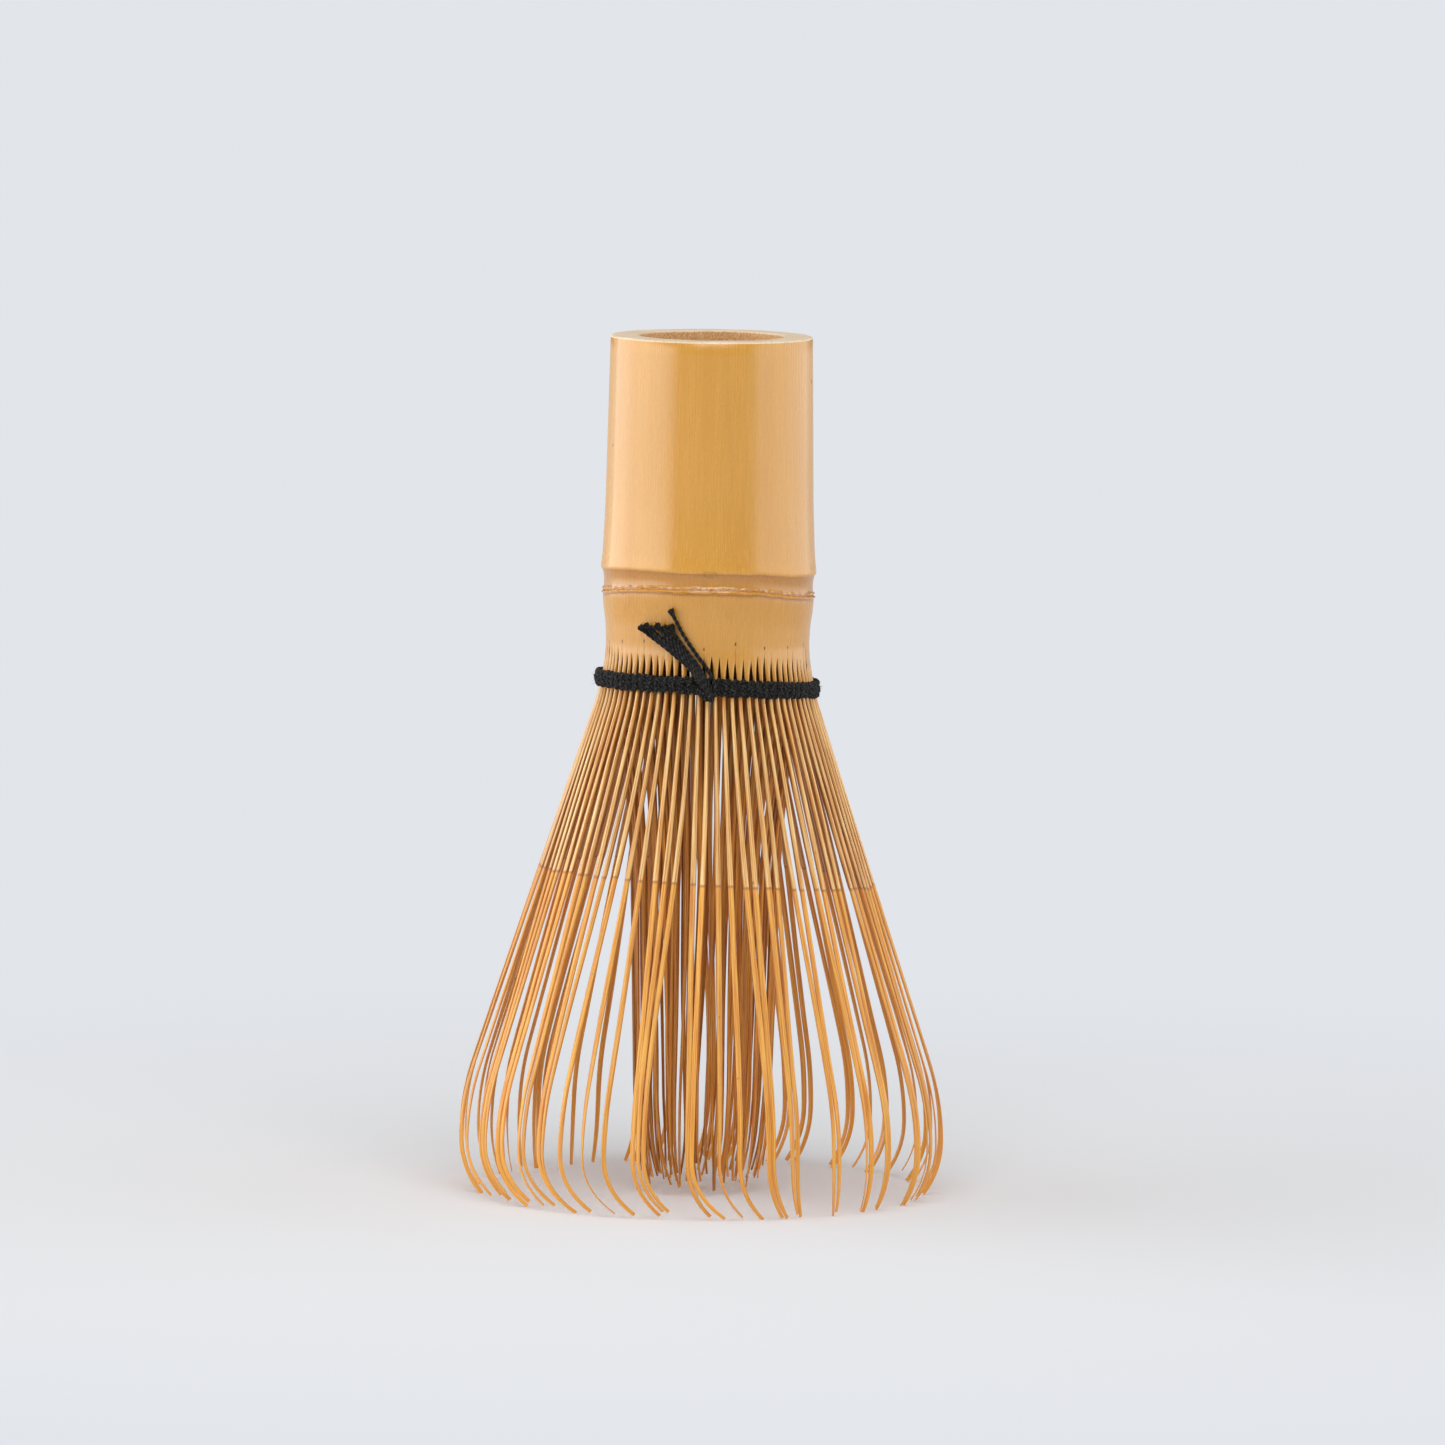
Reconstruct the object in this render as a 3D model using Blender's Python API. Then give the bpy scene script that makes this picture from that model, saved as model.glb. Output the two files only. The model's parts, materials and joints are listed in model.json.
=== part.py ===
"""A bamboo tea whisk (chasen): the design, as separate solids.

Run with: blender --background --python part.py. Units are metres, +Z is up.
The whisk stands on its tine tips with its handle up. The origin is the centre of the ring of tips,
where they touch the ground. Angles go round the Z axis, from the front (-Y) towards +X.

The culm's head is first split into SECTIONS staves, then each stave into TINES_PER_SECTION outer
tines and as many inner ones, which pass behind the thread. Each stave's outer tines are one solid,
and so are its inner tines, because they flex from the root that they share under the thread.
"""

import math

import bmesh
import bpy
from mathutils import Vector

MM = 0.001
GAP = 0.3 * MM  # left between solids that touch on the real whisk

# Culm: the grip, the node with its two ridges, and the neck down to the thread
WHISK_HEIGHT = 112.5 * MM
RIM_RADIUS = 13.2 * MM
RIM_BEVEL = 0.35 * MM
GRIP_RADIUS = 13.6 * MM
GRIP_WIDEST = 90.7 * MM
UPPER_RIDGE_RADIUS = 14.1 * MM
UPPER_RIDGE_HEIGHT = 81.6 * MM
RIDGE_GROOVE_RADIUS = 13.68 * MM
LOWER_RIDGE_RADIUS = 14.0 * MM
LOWER_RIDGE_HEIGHT = 78.7 * MM
WAIST_RADIUS = 13.3 * MM
WAIST_HEIGHT = 72.2 * MM
NECK_END_RADIUS = 13.7 * MM
BORE_RADIUS = 9.4 * MM
DIAPHRAGM_TOP = 81.4 * MM
DIAPHRAGM_THICKNESS = 1.8 * MM
CULM_STEPS = 40

# Staves: the undivided roots that the tines spring from, behind the thread
ROOT_TOP = 68.0 * MM
ROOT_BOTTOM = 66.0 * MM
OUTER_ROOT_RADIUS = 13.75 * MM
OUTER_ROOT_THICKNESS = 0.75 * MM
INNER_ROOT_RADIUS = 12.35 * MM
INNER_ROOT_THICKNESS = 0.75 * MM

# Tines
SECTIONS = 20
TINES_PER_SECTION = 4
SECTION_PITCH = 2 * math.pi / SECTIONS
TINE_PITCH = SECTION_PITCH / TINES_PER_SECTION
FIRST_SECTION_ANGLE = math.radians(2.6)
OUTER_WIDTH = 0.62 * MM
OUTER_THICKNESS = 0.5 * MM
OUTER_TIP_THICKNESS = 0.3 * MM
INNER_WIDTH = 0.42 * MM
INNER_TIP_WIDTH = 0.3 * MM
INNER_THICKNESS = 0.38 * MM

# Outline of an outer tine: a flare, a straight slope, an arc out to the belly, an arc in to the tip
FLARE_HEIGHT = 64.3 * MM
FLARE_RADIUS = 14.6 * MM
SLOPE = 0.331
BELLY_HEIGHT = 7.2 * MM
BELLY_RADIUS = 31.8 * MM
TIP_RADIUS = 29.4 * MM
OUTER_STATIONS = [z * MM for z in (64.3, 42.0, 24.0, 13.5, 7.2, 3.0, 0.0)]

# Outline of an inner tine: nearly straight, then curled in towards its tip
INNER_CURL_HEIGHT = 9.0 * MM
INNER_CURL_RADIUS = 9.4 * MM
INNER_CURL_ARC = 24.0 * MM
INNER_STATIONS = [z * MM for z in (40.0, 9.0, 5.0, 1.5)]

# Below CLUMP_TOP a stave's outer tines lean together into clumps. The counts run round the whisk.
CLUMP_TOP = 60.0 * MM
CLUMP_BOTTOM = 18.0 * MM
CLUMP_PITCH = math.radians(1.7)
CLUMP_SPREAD = math.radians(13.4)
CLUMPS = (
    (2, 1, 1), (2, 2), (2, 2), (1, 3), (3, 1), (1, 1, 2), (2, 2), (1, 2, 1), (3, 1), (2, 1, 1),
    (2, 2), (1, 3), (1, 2, 1), (2, 2), (1, 1, 2), (2, 1, 1), (1, 3), (2, 2), (2, 1, 1), (1, 3),
)  # fmt: skip
SWIRL_TOP = 9.0 * MM  # below this the tips also curl sideways
SWIRL_ANGLE = math.radians(3.6)

# Thread: two courses woven round the roots, tied in a knot at the front, with loose ends above it
THREAD_DIAMETER = 0.46 * MM
COURSE_THICKNESS = 0.8 * MM
COURSE_RADIUS = 14.5 * MM
COURSE_HEIGHTS = {"thread_upper_course": 67.45 * MM, "thread_lower_course": 66.3 * MM}
COURSE_STEPS = 40
KNOT_ANGLE = math.radians(-1.5)
KNOT_HEIGHT = 66.9 * MM
KNOT_WIDTH = 2.4 * MM
KNOT_LENGTH = 2.8 * MM
KNOT_DEPTH = 1.0 * MM
TAIL_LAYER = 0.78 * MM
TAIL_POINTS = 7
# Each loose end: the angle and height of its start, the same of its end, and its layer
TAILS = (
    (-4.6, 68.9, -19.5, 77.0, 0),
    (-7.8, 68.8, -24.5, 75.9, 0),
    (-11.0, 68.8, -29.0, 75.4, 0),
    (-14.2, 68.7, -33.5, 75.0, 0),
    (-7.0, 68.9, -27.0, 76.0, 1),
    (-10.4, 68.8, -32.0, 75.5, 1),
    (-13.8, 68.7, -37.5, 74.8, 1),
)

COLOURS = {
    "bamboo_culm": (0.68, 0.44, 0.19, 1.0),
    "outer_tine": (0.68, 0.36, 0.12, 1.0),
    "inner_tine": (0.36, 0.16, 0.05, 1.0),
    "thread": (0.016, 0.015, 0.016, 1.0),
}
ROUGHNESS = {"bamboo_culm": 0.35, "outer_tine": 0.45, "inner_tine": 0.55, "thread": 0.9}


def around(angle, radius, height):
    """The point at an angle round the whisk's axis, a radius from it and a height."""
    return Vector((radius * math.sin(angle), -radius * math.cos(angle), height))


def smooth_step(share):
    share = min(1.0, max(0.0, share))
    return share * share * (3 - 2 * share)


def material(slot):
    found = bpy.data.materials.get(slot)
    if found:
        return found
    made = bpy.data.materials.new(slot)
    made.use_nodes = True
    shader = made.node_tree.nodes["Principled BSDF"]
    shader.inputs["Base Color"].default_value = COLOURS[slot]
    shader.inputs["Roughness"].default_value = ROUGHNESS[slot]
    shader.inputs["Metallic"].default_value = 0.0
    return made


def add_object(name, data, slot):
    data.materials.append(material(slot))
    made = bpy.data.objects.new(name, data)
    bpy.context.scene.collection.objects.link(made)
    return made


def finish_mesh(name, bm, slot):
    """Turns a closed bmesh into a smooth-shaded object with its faces pointing out."""
    bmesh.ops.remove_doubles(bm, verts=bm.verts, dist=1e-6)
    bmesh.ops.recalc_face_normals(bm, faces=bm.faces)
    mesh = bpy.data.meshes.new(name)
    bm.to_mesh(mesh)
    bm.free()
    mesh.shade_smooth()
    mesh.set_sharp_from_angle(angle=math.radians(35))
    return add_object(name, mesh, slot)


def turned(name, outline, slot, steps, closed=False):
    """A solid of revolution about the whisk's axis, from an outline of (radius, height) points."""
    bm = bmesh.new()
    points = [bm.verts.new((radius, 0, height)) for radius, height in outline]
    edges = [bm.edges.new(ends) for ends in zip(points, points[1:])]
    if closed:
        edges.append(bm.edges.new((points[-1], points[0])))
    bmesh.ops.spin(
        bm, geom=points + edges, axis=(0, 0, 1), angle=2 * math.pi, steps=steps, use_merge=True
    )
    return finish_mesh(name, bm, slot)


def culm_outline():
    """The culm's outer face, from the rim down: (radius, height) points."""
    ridge_half = 0.8 * MM
    return (
        (RIM_RADIUS - RIM_BEVEL, WHISK_HEIGHT),
        (RIM_RADIUS, WHISK_HEIGHT - RIM_BEVEL),
        (GRIP_RADIUS, GRIP_WIDEST),
        (GRIP_RADIUS + (UPPER_RIDGE_RADIUS - GRIP_RADIUS) / 2, UPPER_RIDGE_HEIGHT + 2 * ridge_half),
        (UPPER_RIDGE_RADIUS, UPPER_RIDGE_HEIGHT),
        (RIDGE_GROOVE_RADIUS, UPPER_RIDGE_HEIGHT - ridge_half),
        (RIDGE_GROOVE_RADIUS, LOWER_RIDGE_HEIGHT + ridge_half),
        (LOWER_RIDGE_RADIUS, LOWER_RIDGE_HEIGHT),
        (LOWER_RIDGE_RADIUS, LOWER_RIDGE_HEIGHT - ridge_half),
        ((LOWER_RIDGE_RADIUS + WAIST_RADIUS) / 2, LOWER_RIDGE_HEIGHT - 3 * ridge_half),
        (WAIST_RADIUS, WAIST_HEIGHT),
        (NECK_END_RADIUS, ROOT_TOP + GAP),
    )


def culm_radius(height):
    """Radius of the culm's outer face at a height."""
    outline = culm_outline()
    for (radius, top), (next_radius, bottom) in zip(outline, outline[1:]):
        if bottom <= height <= top:
            return radius + (next_radius - radius) * (top - height) / (top - bottom)
    return outline[-1][0]


def make_handle():
    """The uncut culm: a bored grip, closed at its node by the diaphragm, and an open neck under it."""
    neck_inside = INNER_ROOT_RADIUS - INNER_ROOT_THICKNESS
    underside = DIAPHRAGM_TOP - DIAPHRAGM_THICKNESS
    inside = (
        (neck_inside, ROOT_TOP + GAP),
        (neck_inside, WAIST_HEIGHT),
        (BORE_RADIUS, underside),
        (0.0, underside),
        (0.0, DIAPHRAGM_TOP),
        (BORE_RADIUS, DIAPHRAGM_TOP + RIM_BEVEL),
        (BORE_RADIUS, WHISK_HEIGHT - RIM_BEVEL),
        (BORE_RADIUS + RIM_BEVEL, WHISK_HEIGHT),
    )
    return turned("handle", culm_outline() + inside, "bamboo_culm", CULM_STEPS, closed=True)


def outer_radius(height):
    """Radius of an outer tine's outer face at a height."""
    if height > FLARE_HEIGHT:
        share = (height - FLARE_HEIGHT) / (ROOT_BOTTOM - FLARE_HEIGHT)
        return FLARE_RADIUS + (OUTER_ROOT_RADIUS - FLARE_RADIUS) * share
    if height < BELLY_HEIGHT:
        inset = BELLY_RADIUS - TIP_RADIUS
        arc = (BELLY_HEIGHT**2 + inset**2) / (2 * inset)
        return BELLY_RADIUS - arc + math.sqrt(arc**2 - (BELLY_HEIGHT - height) ** 2)
    lean = math.atan(SLOPE)
    slope_at_belly = FLARE_RADIUS + SLOPE * (FLARE_HEIGHT - BELLY_HEIGHT)
    arc = (slope_at_belly - BELLY_RADIUS) / (SLOPE * math.sin(lean) - 1 + math.cos(lean))
    if height < BELLY_HEIGHT + arc * math.sin(lean):
        return BELLY_RADIUS - arc + math.sqrt(arc**2 - (height - BELLY_HEIGHT) ** 2)
    return FLARE_RADIUS + SLOPE * (FLARE_HEIGHT - height)


def inner_radius(height):
    """Radius of an inner tine's outer face at a height."""
    if height < INNER_CURL_HEIGHT:
        return INNER_CURL_RADIUS - (INNER_CURL_HEIGHT - height) ** 2 / (2 * INNER_CURL_ARC)
    share = (height - INNER_CURL_HEIGHT) / (ROOT_BOTTOM - INNER_CURL_HEIGHT)
    return INNER_CURL_RADIUS + (INNER_ROOT_RADIUS - INNER_CURL_RADIUS) * share


def root_angles(section):
    """The angles of a stave's tines at the root, evenly spaced about the stave's middle."""
    middle = FIRST_SECTION_ANGLE + section * SECTION_PITCH
    return [
        middle + (tine - (TINES_PER_SECTION - 1) / 2) * TINE_PITCH
        for tine in range(TINES_PER_SECTION)
    ]


def belly_angles(section):
    """The angles of the same tines at the belly, where they stand in clumps."""
    counts = CLUMPS[section]
    touching = (TINES_PER_SECTION - len(counts)) * CLUMP_PITCH
    space = (CLUMP_SPREAD - touching) / (len(counts) - 1)
    angle = FIRST_SECTION_ANGLE + section * SECTION_PITCH - CLUMP_SPREAD / 2
    angles = []
    for count in counts:
        angles += [angle + place * CLUMP_PITCH for place in range(count)]
        angle = angles[-1] + space
    return angles


def outer_angle(root, belly, height):
    """An outer tine's angle at a height, between its angles at the root and at the belly."""
    lean = smooth_step((CLUMP_TOP - height) / (CLUMP_TOP - CLUMP_BOTTOM))
    swirl = SWIRL_ANGLE * max(0.0, 1 - height / SWIRL_TOP) ** 2
    return root + (belly - root) * lean + swirl


def cross_section(angle, radius_at, height, width, thickness):
    """A tine's four corners at a height: two on its outer face, then two on its inner face."""
    step = 0.2 * MM
    along = Vector((radius_at(height + step) - radius_at(height), step)).normalized()
    inward = around(angle, -along.y, along.x) * thickness
    sideways = around(angle + math.pi / 2, width / 2, 0)
    middle = around(angle, radius_at(height), height)
    left, right = middle - sideways, middle + sideways
    return [left, right, right + inward, left + inward]


def sweep(bm, ring, cross_sections):
    """Joins a ring of points to each cross-section in turn, and closes the last one."""
    for corners in cross_sections:
        new_ring = [bm.verts.new(corner) for corner in corners]
        for side in range(len(ring)):
            after = (side + 1) % len(ring)
            bm.faces.new((ring[side], ring[after], new_ring[after], new_ring[side]))
        ring = new_ring
    bm.faces.new(ring)


def make_root(bm, angles, width, radius, thickness):
    """A stave's undivided root, an arc closed but for the places where its tines spring from it.
    It returns those places, each as a ring of four points."""
    half = width / (2 * radius)
    cuts = sorted([angle - half for angle in angles] + [angle + half for angle in angles])
    inside = radius - thickness
    outline = ((radius, ROOT_TOP), (radius, ROOT_BOTTOM), (inside, ROOT_BOTTOM), (inside, ROOT_TOP))
    columns = [[bm.verts.new(around(angle, *point)) for point in outline] for angle in cuts]
    bm.faces.new(columns[0])
    bm.faces.new(columns[-1][::-1])
    places = []
    for number, (left, right) in enumerate(zip(columns, columns[1:])):
        for side, after in ((0, 1), (2, 3), (3, 0)):
            bm.faces.new((left[side], left[after], right[after], right[side]))
        bottom = (left[1], right[1], right[2], left[2])
        if number % 2:
            bm.faces.new(bottom)
        else:
            places.append(list(bottom))
    return places


def make_outer_tines(section):
    bm = bmesh.new()
    roots = root_angles(section)
    places = make_root(bm, roots, OUTER_WIDTH, OUTER_ROOT_RADIUS, OUTER_ROOT_THICKNESS)
    for place, root, belly in zip(places, roots, belly_angles(section)):
        cross_sections = []
        for height in OUTER_STATIONS:
            thinning = (OUTER_THICKNESS - OUTER_TIP_THICKNESS) * (1 - height / FLARE_HEIGHT)
            angle = outer_angle(root, belly, height)
            thickness = OUTER_THICKNESS - thinning
            corners = cross_section(angle, outer_radius, height, OUTER_WIDTH, thickness)
            cross_sections.append(corners)
        sweep(bm, place, cross_sections)
    return finish_mesh(f"outer_tines_{section + 1:02}", bm, "outer_tine")


def make_inner_tines(section):
    bm = bmesh.new()
    roots = root_angles(section)
    places = make_root(bm, roots, INNER_WIDTH, INNER_ROOT_RADIUS, INNER_ROOT_THICKNESS)
    for place, root in zip(places, roots):
        cross_sections = []
        for height in INNER_STATIONS:
            narrowing = (INNER_WIDTH - INNER_TIP_WIDTH) * (1 - height / ROOT_BOTTOM)
            width = INNER_WIDTH - narrowing
            corners = cross_section(root, inner_radius, height, width, INNER_THICKNESS)
            cross_sections.append(corners)
        sweep(bm, place, cross_sections)
    return finish_mesh(f"inner_tines_{section + 1:02}", bm, "inner_tine")


def make_thread_course(name, height):
    sides = 6
    half = COURSE_THICKNESS / 2
    turns = [2 * math.pi * side / sides for side in range(sides)]
    outline = [(COURSE_RADIUS + half * math.cos(t), height - half * math.sin(t)) for t in turns]
    return turned(name, outline, "thread", COURSE_STEPS, closed=True)


def make_knot():
    bm = bmesh.new()
    bmesh.ops.create_icosphere(bm, subdivisions=2, radius=0.5)
    bmesh.ops.scale(bm, vec=(KNOT_WIDTH, KNOT_DEPTH, KNOT_LENGTH), verts=bm.verts)
    knot = finish_mesh("thread_knot", bm, "thread")
    radius = COURSE_RADIUS + COURSE_THICKNESS / 2 + GAP + KNOT_DEPTH / 2
    knot.location = around(KNOT_ANGLE, radius, KNOT_HEIGHT)
    knot.rotation_euler.z = KNOT_ANGLE
    return knot


def make_tail(number, start_angle, start_height, end_angle, end_height, layer):
    """A loose end of thread, lying on the neck."""
    curve = bpy.data.curves.new(f"thread_tail_{number}", "CURVE")
    curve.dimensions = "3D"
    curve.bevel_depth = THREAD_DIAMETER / 2
    curve.bevel_resolution = 1
    curve.use_fill_caps = True
    spline = curve.splines.new("POLY")
    spline.points.add(TAIL_POINTS - 1)
    clearance = GAP + THREAD_DIAMETER / 2 + layer * TAIL_LAYER
    for place, point in enumerate(spline.points):
        share = place / (TAIL_POINTS - 1)
        bend = share + 0.18 * math.sin(math.pi * share)
        angle = math.radians(start_angle + (end_angle - start_angle) * share)
        height = (start_height + (end_height - start_height) * bend) * MM
        lowest_clear = culm_radius(height) + clearance
        point.co = (*around(angle, lowest_clear, height), 1)
    return add_object(curve.name, curve, "thread")


def main():
    for existing in list(bpy.data.objects):
        bpy.data.objects.remove(existing)
    make_handle()
    for section in range(SECTIONS):
        make_outer_tines(section)
        make_inner_tines(section)
    for name, height in COURSE_HEIGHTS.items():
        make_thread_course(name, height)
    make_knot()
    for number, tail in enumerate(TAILS, 1):
        make_tail(number, *tail)


main()
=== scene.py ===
"""The looks of the bamboo tea whisk: every visible piece is built here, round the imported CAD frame.

Units are metres, +Z is up and -Y is the front. Angles go round the Z axis, from the front towards +X.
"""

import json
import math

import bpy
import numpy as np
from mathutils import Matrix, Vector

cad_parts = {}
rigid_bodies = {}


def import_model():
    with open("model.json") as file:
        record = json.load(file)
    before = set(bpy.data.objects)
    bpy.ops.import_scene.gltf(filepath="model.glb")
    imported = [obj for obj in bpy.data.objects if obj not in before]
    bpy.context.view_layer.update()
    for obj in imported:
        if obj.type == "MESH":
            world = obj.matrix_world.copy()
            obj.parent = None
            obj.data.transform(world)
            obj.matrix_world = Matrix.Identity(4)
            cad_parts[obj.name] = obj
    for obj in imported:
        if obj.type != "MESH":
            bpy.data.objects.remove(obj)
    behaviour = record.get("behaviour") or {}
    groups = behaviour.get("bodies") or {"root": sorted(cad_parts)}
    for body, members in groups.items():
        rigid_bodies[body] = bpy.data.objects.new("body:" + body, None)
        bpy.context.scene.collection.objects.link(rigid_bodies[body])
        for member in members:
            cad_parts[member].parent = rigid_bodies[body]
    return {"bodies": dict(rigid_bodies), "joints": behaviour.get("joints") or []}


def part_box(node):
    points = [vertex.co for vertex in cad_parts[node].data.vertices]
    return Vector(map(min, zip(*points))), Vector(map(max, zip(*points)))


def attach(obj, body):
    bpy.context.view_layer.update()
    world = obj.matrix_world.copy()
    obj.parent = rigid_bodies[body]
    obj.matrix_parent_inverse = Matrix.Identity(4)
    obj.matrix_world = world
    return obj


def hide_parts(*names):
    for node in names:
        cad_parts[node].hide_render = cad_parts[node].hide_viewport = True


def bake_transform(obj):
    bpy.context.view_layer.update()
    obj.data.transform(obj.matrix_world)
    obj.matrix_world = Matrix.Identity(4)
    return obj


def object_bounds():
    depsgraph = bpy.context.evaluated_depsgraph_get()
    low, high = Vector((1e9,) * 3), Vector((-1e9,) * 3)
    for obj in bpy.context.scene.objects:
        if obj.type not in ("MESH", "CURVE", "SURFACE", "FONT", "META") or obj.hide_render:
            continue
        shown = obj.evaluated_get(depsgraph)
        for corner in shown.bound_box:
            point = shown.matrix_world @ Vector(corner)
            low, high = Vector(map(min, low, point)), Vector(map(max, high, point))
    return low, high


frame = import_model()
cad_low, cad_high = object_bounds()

MM = 0.001
TURN = 2 * math.pi

# ---- places and sizes read from the frame ----
JOINTS = {joint["child"]: joint for joint in frame["joints"]}
SECTIONS = sum(body.startswith("outer_tines") for body in frame["bodies"])
TINES_PER_SECTION = 4
TINES = SECTIONS * TINES_PER_SECTION
PITCH = TURN / TINES
RIM_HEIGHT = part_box("handle")[1].z
RIM_RADIUS = 13.2 * MM
BELLY_RADIUS = cad_high.x

# ---- the culm ----
BORE_RADIUS = 9.4 * MM
NECK_BORE = 11.55 * MM
DIAPHRAGM = 81.4 * MM
DIAPHRAGM_THICKNESS = 1.8 * MM
NODE_MIDDLE = 80.0 * MM
FINGER_END = 66.5 * MM
SLIT_TOP = 70.7 * MM
SLIT_WIDTH = 0.66 * MM
CRACK_WIDTH = 0.03 * MM
NARROWEST_GAP = 0.001 * MM
FINGER_ROUNDING = 0.32 * MM
MERGE_DISTANCE = 1e-8

# ---- tines ----
FLARE_HEIGHT = 64.3 * MM
FLARE_RADIUS = 14.6 * MM
SLOPE = 0.331
BELLY_HEIGHT = 7.2 * MM
TIP_RADIUS = 29.4 * MM
TINE_TOP = 67.4 * MM

# ---- thread ----
THREAD_HEIGHT = 66.9 * MM
ROW_PITCH = 0.40 * MM

random = np.random.default_rng(7)


# ==== mesh helpers ====


def around(angle, radius=1.0, height=0.0):
    """Points at angles round the whisk's axis, as an array whose last axis is x, y, z."""
    angle, radius, height = np.broadcast_arrays(angle, radius, height)
    return np.stack([radius * np.sin(angle), -radius * np.cos(angle), height], axis=-1)


def smooth_step(low, high, value):
    share = np.clip((value - low) / (high - low), 0, 1)
    return share * share * (3 - 2 * share)


def ripple(angle, seed, waves=(3, 11)):
    """A smooth wave round the culm, of about unit height, the same each run."""
    made = np.random.default_rng(seed)
    total = np.zeros(np.shape(angle))
    for count in range(*waves):
        total = total + made.normal() * np.cos(count * angle + made.uniform(0, TURN))
    return total / math.sqrt(waves[1] - waves[0])


def wander(share, seed, waves=(1, 5)):
    """A smooth wave along a strand, for shares of its length from 0 to 1."""
    made = np.random.default_rng(seed)
    total = np.zeros(np.shape(share))
    for count in range(*waves):
        phase = made.uniform(0, TURN)
        total = total + made.normal() / count * np.sin(math.pi * count * share + phase)
    return total


def add_mesh(name, points, faces, material, attributes=None, sharp=40):
    mesh = bpy.data.meshes.new(name)
    mesh.from_pydata(points.tolist(), [], faces)
    for key, values in (attributes or {}).items():
        layer = mesh.attributes.new(key, "FLOAT", "POINT")
        layer.data.foreach_set("value", np.asarray(values, np.float32))
    mesh.shade_smooth()
    mesh.set_sharp_from_angle(angle=math.radians(sharp))
    materials = material if isinstance(material, (list, tuple)) else [material]
    for one in materials:
        mesh.materials.append(one)
    made = bpy.data.objects.new(name, mesh)
    bpy.context.scene.collection.objects.link(made)
    return made


class Strands:
    """Collects tubes, with their attributes, into one mesh."""

    def __init__(self):
        self.points = []
        self.faces = []
        self.values = {}
        self.count = 0

    def sweep(self, points, values, closed=False):
        """Adds a tube through points by ring and corner, with values that broadcast to them."""
        rings, corners = points.shape[:2]
        start = self.count
        for ring in range(rings if closed else rings - 1):
            here, there = start + ring * corners, start + (ring + 1) % rings * corners
            for corner in range(corners):
                after = (corner + 1) % corners
                self.faces.append((here + corner, here + after, there + after, there + corner))
        if not closed:
            last = start + (rings - 1) * corners
            self.faces.append(tuple(range(start + corners - 1, start - 1, -1)))
            self.faces.append(tuple(range(last, last + corners)))
        for key, value in values.items():
            self.values.setdefault(key, []).append(np.broadcast_to(value, (rings, corners)).reshape(-1))
        self.points.append(points.reshape(-1, 3))
        self.count += rings * corners

    def add(self, line, side, out, outline, half_width, half_depth, values):
        """Sweeps an outline along a line. side and out are the outline's axes at each point."""
        across = outline[None, :, :1] * np.reshape(half_width, (-1, 1, 1)) * side[:, None, :]
        depth = outline[None, :, 1:2] * np.reshape(half_depth, (-1, 1, 1)) * out[:, None, :]
        self.sweep(line[:, None, :] + across + depth, values)

    def build(self, name, material, sharp):
        values = {key: np.concatenate(parts) for key, parts in self.values.items()}
        return add_mesh(name, np.concatenate(self.points), self.faces, material, values, sharp)


def unit(vectors):
    return vectors / np.linalg.norm(vectors, axis=-1, keepdims=True)


def along(line):
    """The direction of a line at each of its points."""
    return unit(np.gradient(line, axis=0))


def axes_across(line, hint):
    """Two axes across a line, the second near a hint."""
    run = along(line)
    out = unit(hint - run * np.sum(hint * run, axis=1, keepdims=True))
    return np.cross(run, out), out


def twisted(side, out, turn):
    """The two axes turned about the line, by an angle at each point."""
    turn = turn[:, None]
    return side * np.cos(turn) + out * np.sin(turn), out * np.cos(turn) - side * np.sin(turn)


# ==== materials ====


def add_node(tree, kind, inputs=None, **settings):
    made = tree.nodes.new("ShaderNode" + kind)
    for key, value in settings.items():
        setattr(made, key, value)
    for key, value in (inputs or {}).items():
        if isinstance(value, bpy.types.NodeSocket):
            tree.links.new(value, made.inputs[key])
        else:
            made.inputs[key].default_value = value
    return made


def attribute(tree, name):
    return add_node(tree, "Attribute", attribute_name=name).outputs["Fac"]


def math_node(tree, operation, first, second=0.0, clamp=False):
    return add_node(tree, "Math", {0: first, 1: second}, operation=operation, use_clamp=clamp).outputs[0]


def times(tree, first, second):
    return math_node(tree, "MULTIPLY", first, second)


def plus(tree, first, second):
    return math_node(tree, "ADD", first, second)


def remap(tree, value, low, high, to_low=0.0, to_high=1.0):
    inputs = {"Value": value, "From Min": low, "From Max": high, "To Min": to_low, "To Max": to_high}
    return add_node(tree, "MapRange", inputs).outputs["Result"]


def mix(tree, factor, first, second, blend="MIX"):
    inputs = {"Factor": factor, 6: first, 7: second}
    return add_node(tree, "Mix", inputs, data_type="RGBA", blend_type=blend).outputs[2]


def noise(tree, across, lengthways, detail=2.0, roughness=0.5, turn=0.0):
    """Noise in the object's own space. Its scales are in waves per metre."""
    place = add_node(tree, "TexCoord").outputs["Object"]
    inputs = {"Vector": place, "Angle": turn}
    turned = add_node(tree, "VectorRotate", inputs, rotation_type="Y_AXIS").outputs[0]
    inputs = {"Vector": turned, "Scale": (across, across, lengthways)}
    scaled = add_node(tree, "Mapping", inputs).outputs["Vector"]
    inputs = {"Vector": scaled, "Scale": 1.0, "Detail": detail, "Roughness": roughness}
    return add_node(tree, "TexNoise", inputs).outputs["Fac"]


def ramp(tree, value, stops):
    made = add_node(tree, "ValToRGB", {"Fac": value})
    elements = made.color_ramp.elements
    for number, (place, colour) in enumerate(stops):
        element = elements[number] if number < 2 else elements.new(place)
        element.position = place
        element.color = colour
    return made.outputs["Color"]


def bump(tree, height, strength, distance):
    return add_node(tree, "Bump", {"Height": height, "Strength": strength, "Distance": distance}).outputs[0]


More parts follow.
